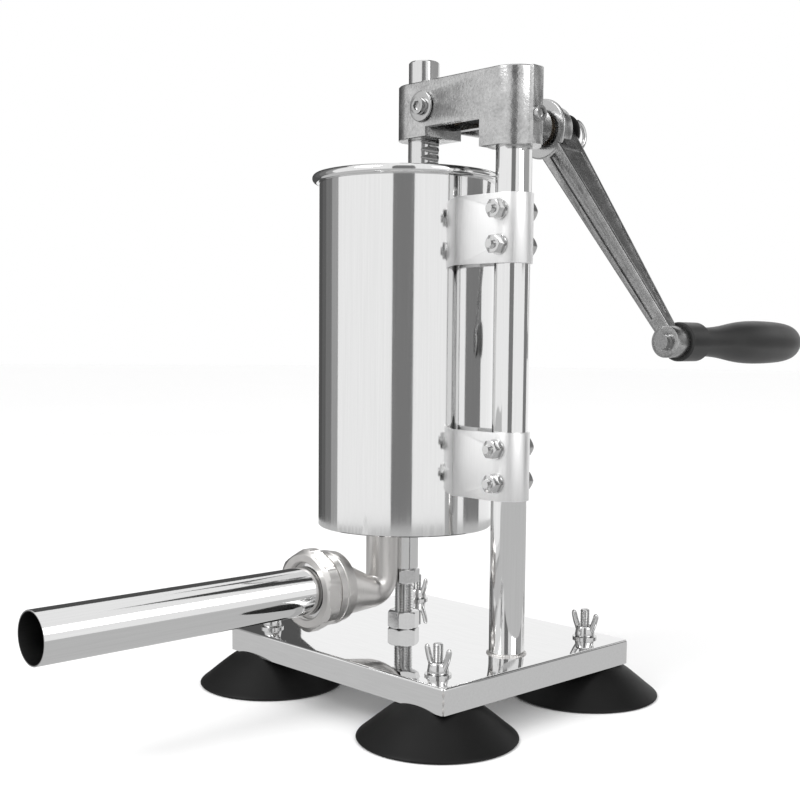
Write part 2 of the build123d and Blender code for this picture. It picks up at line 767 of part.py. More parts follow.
base_r = pitch_r * cos(pressure_angle)
root_r = pitch_r - pinion_dedendum


def involute(angle):
    """The involute function, tan(a) - a."""
    return tan(angle) - angle


def half_tooth(radius):
    """Half of a tooth's angle at a radius, on its involute flank."""
    at_pitch = (tooth_pitch / 2 - tooth_backlash / 2) / 2 / pitch_r
    flank = acos(min(1.0, base_r / radius))
    return at_pitch + involute(pressure_angle) - involute(flank)


# The outline of one tooth: a foot inside the core, then the two involute flanks.
flank_radii = [base_r + (pinion_tip_r - base_r) * n / flank_steps for n in range(flank_steps + 1)]
tooth_side = []
for radius in [root_r - tooth_foot_depth] + flank_radii:
    half_angle = half_tooth(max(radius, base_r))
    tooth_side.append((radius * cos(half_angle), radius * sin(half_angle)))
tooth_outline = [(out, -across) for out, across in tooth_side] + tooth_side[::-1]

near_end = -head_half_width
far_end = arm_far_top - moving_gap
with BuildPart() as crank_shaft:
    for start, end, radius in (
        (near_end, -pinion_width / 2, shaft_r),
        (-pinion_width / 2, pinion_width / 2, root_r),
        (pinion_width / 2, far_end, shaft_r),
    ):
        with BuildSketch(y_plane(start)):
            with Locations((-shaft_x, shaft_z)):
                Circle(radius)
        extrude(amount=end - start)
    # Pinion teeth cut on the shaft, one of them pointing at a gap of the rack.
    with BuildSketch(y_plane(-pinion_width / 2)):
        with Locations((-shaft_x, shaft_z)):
            with PolarLocations(0, pinion_teeth):
                Polygon(*tooth_outline, align=None)
    extrude(amount=pinion_width)
    with BuildSketch(y_plane(near_end)):
        with Locations((-shaft_x, shaft_z)):
            Circle(end_screw_r)
    extrude(amount=end_screw_depth, mode=Mode.SUBTRACT)
    with BuildSketch(y_plane(far_end)):
        with Locations((-shaft_x, shaft_z)):
            Circle(thumb_screw_r)
    extrude(amount=-thumb_screw_depth, mode=Mode.SUBTRACT)
save(crank_shaft, "crank_shaft")

washer_face = near_end - moving_gap / 2
with BuildPart() as end_washer:
    with BuildSketch(y_plane(washer_face)):
        with Locations((-shaft_x, shaft_z)):
            Circle(end_washer_r)
            Circle(end_screw_r, mode=Mode.SUBTRACT)
    extrude(amount=-end_washer_t)
    chamfer(end_washer.edges().filter_by(GeomType.CIRCLE).sort_by(SortBy.RADIUS)[-2:], fine_break)
save(end_washer, "end_washer")

end_screw_seat = washer_face - end_washer_t
with BuildPart() as end_screw:
    for length, radius in (
        (-end_screw_head_h, end_screw_head_r),
        (end_washer_t + near_end - washer_face + end_screw_depth - screw_tip_gap, end_screw_r),
    ):
        with BuildSketch(y_plane(end_screw_seat)):
            with Locations((-shaft_x, shaft_z)):
                Circle(radius)
        extrude(amount=length)
    with BuildSketch(y_plane(end_screw_seat - end_screw_head_h)):
        with Locations((-shaft_x, shaft_z)):
            RegularPolygon(end_screw_r * socket_af_share / 2, 6, major_radius=False)
    extrude(amount=end_screw_head_h * socket_depth_share, mode=Mode.SUBTRACT)
save(end_screw, "end_screw")

# ================= Crank =================

disc_y = arm_near_top - crank_disc_t
with BuildPart() as crank_disc:
    with BuildSketch(y_plane(disc_y)):
        with Locations((-shaft_x, shaft_z)):
            Circle(crank_disc_r)
            Circle(shaft_r, mode=Mode.SUBTRACT)
    extrude(amount=crank_disc_t)
    chamfer(crank_disc.edges().filter_by(GeomType.CIRCLE).sort_by(SortBy.RADIUS)[-2:], edge_break)
save(crank_disc, "crank_disc")

arm_out = (sin(radians(arm_angle)), -cos(radians(arm_angle)))  # the arm's direction, X and Z


def arm_section(distance, near, far, width, across=0.0):
    """A rectangle at a distance from the shaft, from near to far along Y, shifted across the arm."""
    x = shaft_x + distance * arm_out[0] - across * arm_out[1]
    z = shaft_z + distance * arm_out[1] + across * arm_out[0]
    origin = (x, (near + far) / 2, z)
    plane = Plane(origin=origin, x_dir=(0, 1, 0), z_dir=(arm_out[0], 0, arm_out[1]))
    with BuildSketch(plane) as section:
        Rectangle(far - near, width)
    return section.sketch


with BuildPart() as crank_arm:
    top_section = arm_section(0, arm_face_top, arm_far_top, arm_width_top)
    end_section = arm_section(arm_reach, arm_face_end, arm_far_end, arm_width_end)
    loft([top_section, end_section])
    fillet(crank_arm.edges().sort_by(SortBy.LENGTH)[-4:], arm_edge_r)
    # Round the shaft the arm is faced back, so that the crank disc has room.
    with BuildSketch(y_plane(arm_near_top)):
        with Locations((-shaft_x, shaft_z)):
            Circle(crank_disc_r + disc_clearance)
    extrude(amount=-hub_length, mode=Mode.SUBTRACT)
    with BuildSketch(y_plane(arm_near_top)):
        with Locations((-shaft_x, shaft_z)):
            Circle(hub_r)
    extrude(amount=hub_length)
    with BuildSketch(y_plane(arm_near_top)):
        with Locations((-shaft_x, shaft_z)):
            Circle(arm_width_top / 2)
    extrude(amount=arm_far_top - arm_near_top)
    with BuildSketch(y_plane(arm_near_end)):
        with Locations((-grip_x, grip_z)):
            Circle(end_hub_r)
    extrude(amount=arm_far_end - arm_near_end)
    # A channel runs down the face that looks at the tank, and a wide shallow one down each side.
    near_cuts = []
    side_cuts = {-1: [], 1: []}
    for distance in (hub_r + channel_from_hub, arm_reach - end_hub_r - channel_to_end):
        share = distance / arm_reach
        near = arm_face_top + (arm_face_end - arm_face_top) * share
        far = arm_far_top + (arm_far_end - arm_far_top) * share
        half_width = (arm_width_top + (arm_width_end - arm_width_top) * share) / 2
        near_cuts.append(arm_section(distance, near - channel_depth, near + channel_depth, channel_width))
        for side, cuts in side_cuts.items():
            edge = side * half_width
            cuts.append(arm_section(distance, near + side_rim, far - side_rim, 2 * side_depth, edge))
    loft(near_cuts, mode=Mode.SUBTRACT)
    for cuts in side_cuts.values():
        loft(cuts, mode=Mode.SUBTRACT)
    for centre_x, centre_z, radius, depth in (
        (shaft_x, shaft_z, shaft_r, arm_far_end - arm_near_top),
        (grip_x, grip_z, axle_r, arm_far_end - arm_near_top),
        (grip_x, grip_z, axle_head_r + weld_gap, arm_near_end - arm_near_top),
    ):
        with BuildSketch(y_plane(arm_near_top)):
            with Locations((-centre_x, centre_z)):
                Circle(radius)
        extrude(amount=depth, mode=Mode.SUBTRACT)
    # A flat seat for the washer is faced on the far side.
    with BuildSketch(y_plane(arm_far_top)):
        with Locations((-shaft_x, shaft_z)):
            Circle(crank_washer_r + weld_gap)
    extrude(amount=arm_far_end - arm_far_top, mode=Mode.SUBTRACT)
save(crank_arm, "crank_arm")

with BuildPart() as crank_washer:
    with BuildSketch(y_plane(arm_far_top)):
        with Locations((-shaft_x, shaft_z)):
            Circle(crank_washer_r)
            Circle(thumb_screw_r + running_fit, mode=Mode.SUBTRACT)
    extrude(amount=crank_washer_t)
save(crank_washer, "crank_washer")

bow_seat = arm_far_top + crank_washer_t
bow_centre_y = bow_seat + bow_flange_t + bow_straight
with BuildPart() as thumb_screw:
    for length, radius in (
        (bow_flange_t, bow_flange_r),
        (-(thumb_screw_depth + crank_washer_t - moving_gap), thumb_screw_r),
    ):
        with BuildSketch(y_plane(bow_seat)):
            with Locations((-shaft_x, shaft_z)):
                Circle(radius)
        extrude(amount=length)
    # A round wire bow stands on the flange as the finger grip: two legs and a half ring.
    with BuildSketch(y_plane(bow_seat)):
        with Locations((-shaft_x, shaft_z - bow_r), (-shaft_x, shaft_z + bow_r)):
            Circle(bow_wire_r)
    extrude(amount=bow_flange_t + bow_straight)
    with BuildSketch(y_plane(bow_centre_y)):
        with Locations((-shaft_x, shaft_z + bow_r)):
            Circle(bow_wire_r)
    revolve(axis=Axis((shaft_x, bow_centre_y, shaft_z), (-1, 0, 0)), revolution_arc=180)
save(thumb_screw, "thumb_screw")

# ================= Grip =================

grip_end = grip_start + grip_length
axle_bore = axle_r + running_fit

with BuildPart() as grip_axle:
    for start, length, radius in (
        (arm_near_end - axle_head_h, axle_head_h, axle_head_r),
        (arm_near_end, grip_end + grip_nut_h - arm_near_end, axle_r),
    ):
        with BuildSketch(y_plane(start)):
            with Locations((-grip_x, grip_z)):
                Circle(radius)
        extrude(amount=length)
save(grip_axle, "grip_axle")

with BuildPart() as grip:
    with BuildSketch(Plane(origin=(grip_x, 0, grip_z), x_dir=(0, 1, 0), z_dir=(1, 0, 0))):
        with BuildLine():
            neck = (grip_start + grip_collar_length, grip_neck_r)
            belly = (grip_start + grip_belly_share * grip_length, grip_belly_r)
            rim = (grip_end - grip_end_length, grip_end_r)
            Polyline(
                (grip_start, axle_bore),
                (grip_start, grip_collar_r - grip_collar_break),
                (grip_start + grip_collar_break, grip_collar_r),
                (neck[0] - grip_shoulder, grip_collar_r),
                neck,
            )
            swell = (belly[0] - neck[0]) / 2
            Bezier(neck, (neck[0] + swell, neck[1]), (belly[0] - swell, belly[1]), belly)
            Bezier(belly, ((belly[0] + grip_end) / 2, belly[1]), (rim[0], grip_dome_r), rim)
            Polyline(
                rim,
                (grip_end, grip_end_r - grip_end_drop),
                (grip_end, axle_bore),
                (grip_start, axle_bore),
            )
        make_face()
    revolve(axis=Axis((grip_x, 0, grip_z), (0, 1, 0)))
save(grip, "grip")

with BuildPart() as grip_nut:
    with BuildSketch(y_plane(grip_end + moving_gap)):
        with Locations((-grip_x, grip_z)):
            RegularPolygon(grip_nut_af / 2, 6, major_radius=False)
            Circle(axle_r, mode=Mode.SUBTRACT)
    extrude(amount=grip_nut_h - moving_gap)
save(grip_nut, "grip_nut")
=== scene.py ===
# %% [markdown]
# # An upright sausage stuffer, finished around its frame
#
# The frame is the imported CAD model: a tank on a column, a rack plunger driven by a crank, a stuffing tube
# and a polished base plate on four suction cups. Here it gets its finishes, and the pieces whose real shape
# is more than a plain cylinder, such as threads, wing nuts, weld beads and moulded rubber, are built anew.
#
# Everything is in metres, in the frame's own axes: +X from the tank to the column, -Y along the stuffing
# tube and +Z up. Places come from the boxes of the frame's nodes.

# %% Load the frame and keep its box
import json
import math

import bpy
import numpy as np
from mathutils import Matrix, Vector


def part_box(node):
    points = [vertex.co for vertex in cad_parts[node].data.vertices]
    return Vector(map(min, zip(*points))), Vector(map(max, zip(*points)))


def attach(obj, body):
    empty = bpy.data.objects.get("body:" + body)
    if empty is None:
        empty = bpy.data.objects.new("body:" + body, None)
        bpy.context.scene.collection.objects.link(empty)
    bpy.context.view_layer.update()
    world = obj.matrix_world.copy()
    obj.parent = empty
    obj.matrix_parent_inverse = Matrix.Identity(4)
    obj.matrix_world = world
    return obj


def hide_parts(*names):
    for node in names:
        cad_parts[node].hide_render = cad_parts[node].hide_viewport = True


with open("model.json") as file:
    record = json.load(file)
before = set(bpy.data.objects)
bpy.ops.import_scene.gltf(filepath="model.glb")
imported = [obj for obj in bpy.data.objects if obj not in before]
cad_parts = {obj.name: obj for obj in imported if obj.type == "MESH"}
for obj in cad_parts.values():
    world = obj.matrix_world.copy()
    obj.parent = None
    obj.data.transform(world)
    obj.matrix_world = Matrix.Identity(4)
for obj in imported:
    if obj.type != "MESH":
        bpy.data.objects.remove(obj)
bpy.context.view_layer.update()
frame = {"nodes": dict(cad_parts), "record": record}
nodes = frame["nodes"]
slot_of = {part["node"]: part["material_slot"] for part in frame["record"]["subparts"]}
MM = 0.001


def low(node):
    """The lowest corner of a node's box."""
    return np.array(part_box(node)[0])


def high(node):
    """The highest corner of a node's box."""
    return np.array(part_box(node)[1])


def middle(node):
    """The centre of a node's box."""
    return (low(node) + high(node)) / 2


# %% [markdown]
# ## Surfaces from arrays
#
# Every new shape is a grid of points: rows follow a profile or a path, and columns go round it. A turned
# knob, a thread, a hexagon nut and a bent wire are then the same few lines with another formula for the
# radius. Working on whole arrays keeps the formula in sight, and one function makes the faces.

# %% A closed shell from a grid of points


def shell(points, ring=False):
    """Vertices and faces of a grid whose columns close on themselves.

    Quad (i, j) joins rows i and i + 1 with columns j and j + 1. A ring also closes its rows, and any other
    grid gets a cap at each end. The faces are turned over if the signed volume, which has the sign of the
    sum of a . (b x c) over the fan triangles, comes out negative.
    """
    rows, columns = points.shape[:2]
    index = np.arange(rows * columns).reshape(rows, columns)
    lower = index if ring else index[:-1]
    upper = np.roll(index, -1, 0) if ring else index[1:]
    quads = np.stack([lower, np.roll(lower, -1, 1), np.roll(upper, -1, 1), upper], -1).reshape(-1, 4)
    flat = points.reshape(-1, 3)
    centred = flat - flat.mean(0)
    a, b, c, d = (centred[quads[:, k]] for k in range(4))
    volume = np.einsum("ij,ij->i", a, np.cross(b, c) + np.cross(c, d)).sum()
    faces = quads.tolist()
    if not ring:
        first, last = index[0], index[-1]
        for sign, loop in ((-1, first), (1, last)):
            fan = np.cross(centred[loop[1:-1]], centred[loop[2:]])
            volume += sign * np.einsum("j,ij->i", centred[loop[0]], fan).sum()
        faces += [first[::-1].tolist(), last.tolist()]
    return flat, faces if volume > 0 else [face[::-1] for face in faces]


def build(name, shells, body, slot, sharp=32, stands_for=()):
    """One object of several shells, smooth except at edges sharper than an angle, riding on a body."""
    points, faces, start = [], [], 0
    for flat, these in shells:
        points.append(flat)
        faces += [[i + start for i in face] for face in these]
        start += len(flat)
    mesh = bpy.data.meshes.new(name)
    mesh.from_pydata(np.concatenate(points).tolist(), [], faces)
    mesh.polygons.foreach_set("use_smooth", [True] * len(mesh.polygons))
    mesh.set_sharp_from_angle(angle=math.radians(sharp))
    piece = bpy.data.objects.new(name, mesh)
    bpy.context.scene.collection.objects.link(piece)
    mesh.materials.append(finish_of_slot[slot])
    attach(piece, body)
    if stands_for:
        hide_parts(*stands_for)
    print(f"{name}: {len(mesh.polygons)} faces on {body}")


# %% Frames, profiles and paths


def axes_of(direction, side=None):
    """Three unit vectors: two across a direction and the direction itself, right-handed."""
    along = np.array(direction, float) / np.linalg.norm(direction)
    if side is None:
        side = (1, 0, 0) if abs(along[0]) < 0.9 else (0, 1, 0)
    first = np.array(side, float) - np.dot(side, along) * along
    first /= np.linalg.norm(first)
    return np.stack([first, np.cross(along, first), along])


def turned(profile, centre, direction=(0, 0, 1), sides=96, ring=False):
    """A profile of (radius, height) rows carried round an axis.

    point(i, t) = centre + radius_i * (cos t, sin t) + height_i * direction
    """
    profile = np.array(profile, float)
    turn = np.arange(sides) * 2 * np.pi / sides
    radius, height = (np.repeat(profile[:, k:k + 1], sides, 1) for k in (0, 1))
    local = np.stack([radius * np.cos(turn), radius * np.sin(turn), height], -1)
    return shell(np.array(centre) + local @ axes_of(direction), ring)


def smooth_curve(knots, steps=8):
    """A Catmull-Rom curve through knots, with a number of steps between neighbours.

    p(t) = ((2 b) + (c - a) t + (2 a - 5 b + 4 c - d) t^2 + (3 b - a - 3 c + d) t^3) / 2
    """
    knots = np.array(knots, float)
    padded = np.concatenate([[2 * knots[0] - knots[1]], knots, [2 * knots[-1] - knots[-2]]])
    a, b, c, d = padded[:-3], padded[1:-2], padded[2:-1], padded[3:]
    t = (np.arange(steps) / steps)[:, None, None]
    curve = (2 * b + (c - a) * t + (2 * a - 5 * b + 4 * c - d) * t**2 + (3 * b - a - 3 * c + d) * t**3) / 2
    return np.concatenate([curve.transpose(1, 0, 2).reshape(-1, knots.shape[1]), knots[-1:]])


def swept(path, across, wide, thick, sides=20):
    """An oval carried along a path that lies in a plane: wide in that plane and thick across it.

    point(i, t) = path_i + wide_i cos t * normal_i + thick_i sin t * across
    """
    path, across = np.array(path, float), np.array(across, float)
    tangent = np.gradient(path, axis=0)
    tangent /= np.linalg.norm(tangent, axis=1)[:, None]
    normal = np.cross(across, tangent)
    turn = np.arange(sides) * 2 * np.pi / sides
    wide = np.broadcast_to(np.asarray(wide, float), len(path))[:, None, None]
    thick = np.broadcast_to(np.asarray(thick, float), len(path))[:, None, None]
    ovals = np.cos(turn)[:, None] * wide * normal[:, None] + np.sin(turn)[:, None] * thick * across
    return shell(path[:, None] + ovals)


# %% [markdown]
# ## Fasteners
#
# A screw's thread catches the light as a stack of fine lines, so it is cut into the mesh: along a helix the
# radius falls and rises as a triangle wave of the height, shifted by one pitch per turn. A hexagon nut is a
# turned body whose radius follows a hexagon, cut back by a cone at each end, which leaves the rounded
# corners that real nuts have.

# %% Threads, hexagons and washers
coarse_thread = {6: (3 * MM, 1.0 * MM), 8: (4 * MM, 1.25 * MM), 12: (6 * MM, 1.75 * MM)}  # radius and pitch


def threaded(radius, pitch, bottom, top, centre, direction=(0, 0, 1), sides=40, depth=0.55, tip=0.8):
    """A threaded rod between two heights, with a chamfered tip at both ends.

    r(h, t) = radius - depth * pitch * |2 * fraction(h / pitch - t / 2 pi) - 1|, and at most
    tip * radius plus the distance from the nearer end. Depth is a share of the pitch.
    """
    rows_per_pitch = 8
    rows = int((top - bottom) / pitch * rows_per_pitch) + 1
    height = np.linspace(bottom, top, rows)[:, None]
    turn = np.arange(sides)[None] * 2 * np.pi / sides
    wave = np.abs(2 * np.mod(height / pitch - turn / (2 * np.pi), 1) - 1)
    ends = np.minimum(height - bottom, top - height)
    r = np.minimum(radius - depth * pitch * wave, radius * tip + ends)
    local = np.stack([r * np.cos(turn), r * np.sin(turn), height + 0 * turn], -1)
    return shell(np.array(centre) + local @ axes_of(direction))


def hexagon(turn):
    """The radius of a hexagon over its inner radius, 1 / cos of the angle from the nearest flat's middle."""
    return 1 / np.cos(np.mod(turn + np.pi / 6, np.pi / 3) - np.pi / 6)


def hex_body(flats, bottom, top, centre, direction=(0, 0, 1), side=None, both=True, cone=30, sides=72):
    """A hexagon head or nut: the hexagon's radius, or the chamfer cone's where that is smaller.

    The cone starts at a round end face a little smaller than the flats. A head has it at the top only.
    """
    face_share = 0.97
    inner = flats / 2
    reach = (2 / math.sqrt(3) - face_share) * inner * math.tan(math.radians(cone))
    height = np.concatenate([np.linspace(0, reach, 7), np.linspace(top - bottom - reach, top - bottom, 7)])
    from_end = np.minimum(height if both else np.inf, top - bottom - height)
    cone_radius = face_share * inner + from_end / math.tan(math.radians(cone))
    turn = np.arange(sides) * 2 * np.pi / sides
    radius = np.minimum(inner * hexagon(turn)[None], cone_radius[:, None])
    local = np.stack(
        [radius * np.cos(turn), radius * np.sin(turn), np.repeat(height[:, None] + bottom, sides, 1)], -1
    )
    return shell(np.array(centre) + local @ axes_of(direction, side))


def plate_ring(inner, outer, bottom, top, centre, direction=(0, 0, 1), soft=0.0003, sides=72):
    """A washer or ring as a closed rectangle with broken outer edges, carried round."""
    profile = [
        (inner, bottom), (outer - soft, bottom), (outer, bottom + soft),
        (outer, top - soft), (outer - soft, top), (inner, top),
    ]
    return turned(profile, centre, direction, sides, ring=True)


def bead_ring(radius, centre, size, ripple, count, sides=160, around=10):
    """A weld bead round an upright joint: a ring of round section whose size ripples count times."""
    turn = np.arange(sides) * 2 * np.pi / sides
    swell = size * (1 + ripple * np.abs(np.sin(turn * count / 2)) - ripple * 0.5)
    first, second, along = axes_of((0, 0, 1))
    out = np.cos(turn)[:, None] * first + np.sin(turn)[:, None] * second
    section = np.arange(around) * 2 * np.pi / around
    offset = np.cos(section)[None, :, None] * out[:, None] + np.sin(section)[None, :, None] * along
    return shell(np.array(centre) + radius * out[:, None] + swell[:, None, None] * offset, ring=True)


# %% [markdown]
# ## Paint
#
# Each finish is a node material. Shader maths reads best as ordinary maths, so a small class wraps a node
# socket and turns +, -, * and ** into Math nodes. Patterns use Object coordinates: every piece sits at the
# origin, so a pattern stays fixed to the metal when its body moves.

# %% A socket that does arithmetic


class Field:
    """A number that varies over a surface."""

    def __init__(self, paint, socket):
        self.paint, self.socket = paint, socket

    def _maths(self, operation, first, second):
        return self.paint.add("Math", {"operation": operation}, first, second)

    def __add__(self, other):
        return self._maths("ADD", self, other)

    def __sub__(self, other):
        return self._maths("SUBTRACT", self, other)

    def __mul__(self, other):
        return self._maths("MULTIPLY", self, other)

    def __pow__(self, other):
        return self._maths("POWER", self, other)


class Paint:
    """One material and short ways to add to its node tree."""

    def __init__(self, name, **constants):
        self.material = bpy.data.materials.new(name)
        self.material.use_nodes = True
        self.tree = self.material.node_tree
        self.shader = self.tree.nodes["Principled BSDF"]
        self.place = self.tree.nodes.new("ShaderNodeTexCoord").outputs["Object"]
        self.set(self.shader, constants)

    def set(self, node, values):
        """Put values, or links from fields, into a node's sockets, by name or by position."""
        for key, value in values.items():
            socket = node.inputs[key if isinstance(key, int) else key.replace("_", " ")]
            if isinstance(value, Field):
                self.tree.links.new(value.socket, socket)
            elif isinstance(value, bpy.types.NodeSocket):
                self.tree.links.new(value, socket)
            else:
                socket.default_value = value

    def add(self, kind, settings=None, *placed, **named):
        """A node of a type, its settings first and then its inputs; gives its first output back."""
        node = self.tree.nodes.new("ShaderNode" + kind)
        for key, value in (settings or {}).items():
            if key == "stops":
                for stop, (position, shade) in zip(node.color_ramp.elements, value):
                    stop.position, stop.color = position, (shade, shade, shade, 1)
            else:
                setattr(node, key, value)
        self.set(node, dict(enumerate(placed)))
        self.set(node, named)
        return Field(self, node.outputs[0])

    def stretched(self, x, y, z):
        """Object coordinates scaled apart along each axis, which draws a noise out into grain."""
        return self.add("Mapping", None, Vector=self.place, Scale=(x, y, z))

    def noise(self, scale, detail=3.0, where=None, rough=0.55):
        """Cloudy noise from 0 to 1 at so many features per metre."""
        return self.add(
            "TexNoise", None, Vector=where or self.place, Scale=scale, Detail=detail, Roughness=rough
        )

    def ramp(self, value, low_at, high_at):
        """A value passed through a ramp from black at one stop to white at the other."""
        return self.add("ValToRGB", {"stops": [(low_at, 0.0), (high_at, 1.0)]}, Fac=value)

    def blend(self, share, first, second):
        """A colour between two colours."""
        node = self.tree.nodes.new("ShaderNodeMix")
        node.data_type = "RGBA"
        for socket, value in ((node.inputs[0], share), (node.inputs[6], first), (node.inputs[7], second)):
            if isinstance(value, Field):
                self.tree.links.new(value.socket, socket)
            else:
                socket.default_value = value
        return Field(self, node.outputs[2])

    def finish(self, height=None, depth=0.0001, strength=1.0, **fields):
        """Link the varying inputs of the shader, and a bump from a height if there is one."""
        if height is not None:
            fields["Normal"] = self.add("Bump", None, Strength=strength, Distance=depth, Height=height)
        self.set(self.shader, fields)
        return self.material


def grey(value, warm=0.0):
    """An opaque grey, a little warm or cool."""
    return (value * (1 + warm), value, value * (1 - warm), 1)


# %% [markdown]
# ## Metals
#
# Stainless sheet shows two things: what it mirrors, and faint polishing lines along the way it was rubbed.
# The lines are a noise drawn out along one axis, in roughness and in a very shallow bump. Castings are
# tumbled and buffed, so they keep a mottled skin with small pits.

# %% Rubbed metal


def rubbed(name, shade, rough, grain, scratch=0.05, depth=0.000004, warm=0.0, cloud=0.04):
    """Metal with polishing lines: grain is the noise's scale along X, Y and Z."""
    paint = Paint(name, Metallic=1.0)
    lines = paint.noise(1.0, 4.0, paint.stretched(*grain))
    clouds = paint.noise(38.0, 3.0)
    spread = paint.ramp(lines, 0.35, 0.68)
    marks = paint.ramp(paint.noise(160.0, 2.0), 0.60, 0.78)
    colour = paint.blend(lines, grey(shade * 0.93, warm), grey(min(1.0, shade * 1.05), warm))
    return paint.finish(
        lines, depth, 0.5,
        Base_Color=colour,
        Roughness=spread * scratch + clouds * cloud + marks * (cloud * 0.5) + rough,
    )


polished_upright = rubbed("polished_steel_upright", 0.80, 0.035, (900, 900, 14), 0.05)
polished_sheet = rubbed("polished_steel_sheet", 0.84, 0.015, (60, 900, 900), 0.02, 0.000001, cloud=0.02)
satin_sheet = rubbed("satin_steel_sheet", 0.95, 0.36, (1500, 1500, 60), 0.12, 0.00001)
satin_turned = rubbed("satin_steel_turned", 0.70, 0.26, (120, 2600, 120), 0.14, 0.00001, 0.02)
bright_fastener = rubbed("bright_fastener", 0.66, 0.08, (900, 900, 900), 0.10, 0.000004)
machined = rubbed("machined_steel", 0.50, 0.14, (1400, 1400, 1400), 0.12, 0.000004)
rack_steel = rubbed("rack_steel", 0.72, 0.08, (1200, 1200, 30), 0.12)
bronze = rubbed("bronze", 0.5, 0.25, (1500, 300, 1500), 0.2, 0.00001, 0.25)
turned_aluminium = rubbed("turned_aluminium", 0.75, 0.28, (900, 900, 2500), 0.15, 0.00002)

# %% Cast and buffed aluminium


def cast(name, shade, rough, pit_depth):
    """A casting's mottled skin: cloudy tone, small pits from Voronoi cells and bright rubbed spots."""
    paint = Paint(name, Metallic=1.0)
    tone = paint.ramp(paint.noise(90.0, 6.0, rough=0.7), 0.34, 0.68)
    fine = paint.ramp(paint.noise(520.0, 4.0, rough=0.65), 0.38, 0.66)
    cells = paint.add("TexVoronoi", {"feature": "SMOOTH_F1"}, Vector=paint.place, Scale=420.0)
    pits = paint.ramp(cells, 0.08, 0.34)
    bright = paint.blend(tone, grey(shade * 0.72), grey(shade * 1.12))
    colour = paint.blend(fine * 0.45, bright, grey(min(1.0, shade * 1.45)))
    height = fine * 0.35 + pits * 0.45 + tone * 0.4
    roughness = tone * 0.16 + rough - fine * 0.08
    return paint.finish(height, pit_depth, 0.7, Base_Color=colour, Roughness=roughness)


cast_head = cast("cast_head", 0.50, 0.20, 0.00010)
cast_arm = cast("cast_arm", 0.44, 0.22, 0.00005)

# %% A drawn tube with painted shade in its bore


def drawn_tube(name, axis, inner, outer):
    """Polished outside and dull inside, where the near-black colour is painted shade: d = sqrt((x - x0)^2 +
    (z - z0)^2) tells the bore from the outside.
    """
    paint = Paint(name, Metallic=1.0)
    split = paint.tree.nodes.new("ShaderNodeSeparateXYZ")
    paint.tree.links.new(paint.place, split.inputs[0])
    x, z = Field(paint, split.outputs["X"]), Field(paint, split.outputs["Z"])
    distance = ((x - float(axis[0])) ** 2 + (z - float(axis[2])) ** 2) ** 0.5
    outside = paint.add(
        "MapRange", {"clamp": True}, Value=distance, From_Min=inner + 0.2 * MM, From_Max=outer - 0.2 * MM
    )
    lines = paint.noise(1.0, 4.0, paint.stretched(900, 16, 900))
    bright = paint.blend(lines, grey(0.72), grey(0.82))
    # the near-black colour inside the bore is painted shade, not the steel's own colour
    colour = paint.blend(outside, paint.blend(lines, grey(0.03), grey(0.05)), bright)
    return paint.finish(
        lines, 0.000004, 0.5,
        Base_Color=colour, Roughness=outside * -0.40 + lines * 0.04 + 0.45,
    )


tube_bore_r, tube_outer_r = 13.5 * MM, 14.5 * MM
drawn_steel = drawn_tube("drawn_steel_tube", middle("union_nut"), tube_bore_r, tube_outer_r)

# %% [markdown]
# ## Rubber, plastic and seals
#
# Black rubber is never black: dust and handling lift it to a dark grey in soft clouds, and the mould leaves
# a slightly grainy skin. The grip is a harder plastic with a finer grain and a tighter shine.

# %% Soft and moulded finishes


def moulded(name, shade, dusty, rough, grain, depth, specular=0.5):
    """Moulded material: a dark tone with a dusty cloud over it and a pebbled skin."""
    paint = Paint(name, Metallic=0.0, Specular_IOR_Level=specular)
    clouds = paint.ramp(paint.noise(30.0, 5.0, rough=0.6), 0.35, 0.75)
    skin = paint.noise(grain, 2.0)
    specks = paint.ramp(paint.noise(900.0, 1.0), 0.74, 0.80)
    tone = paint.blend(clouds, grey(shade), grey(dusty))
    colour = paint.blend(specks * 0.25, tone, grey(dusty * 2.5))
    return paint.finish(skin, depth, 0.6, Base_Color=colour, Roughness=clouds * 0.14 + rough)


black_rubber = moulded("black_rubber", 0.004, 0.007, 0.46, 1400.0, 0.00004, specular=0.22)
black_grip = moulded("black_grip", 0.014, 0.022, 0.34, 2200.0, 0.00003)
white_seal = moulded("white_seal", 0.70, 0.80, 0.5, 900.0, 0.00003)

# %% Give every node of the frame its finish
finish_of_slot = {
    "polished_steel": polished_upright,
    "satin_steel": satin_turned,
    "cast_aluminium": cast_head,
    "machined_steel": machined,
    "zinc_fastener": bright_fastener,
    "black_rubber": black_rubber,
    "white_seal": white_seal,
    "bronze": bronze,
    "piston_metal": turned_aluminium,
    "black_plastic": black_grip,
}
own_finish = {
    "base_plate": polished_sheet,
    "stuffing_tube": drawn_steel,
    "rack_rod": rack_steel,
    "bracket_lower": satin_sheet,
    "bracket_upper": satin_sheet,
    "crank_arm": cast_arm,
}
softened = {  # bevel widths in millimetres
    "head_casting": 0.9, "crank_arm": 0.5, "bracket_lower": 0.25, "bracket_upper": 0.25, "crank_disc": 0.2,
    "shaft_sleeve": 0.3, "end_washer": 0.15, "end_screw": 0.3, "lock_screw": 0.4,
    "stuffing_tube": 0.15, "column_tube": 0.2, "crank_washer": 0.3,
}
join_distance, bevel_angle, crisp_angle = 0.002 * MM, 40, 28


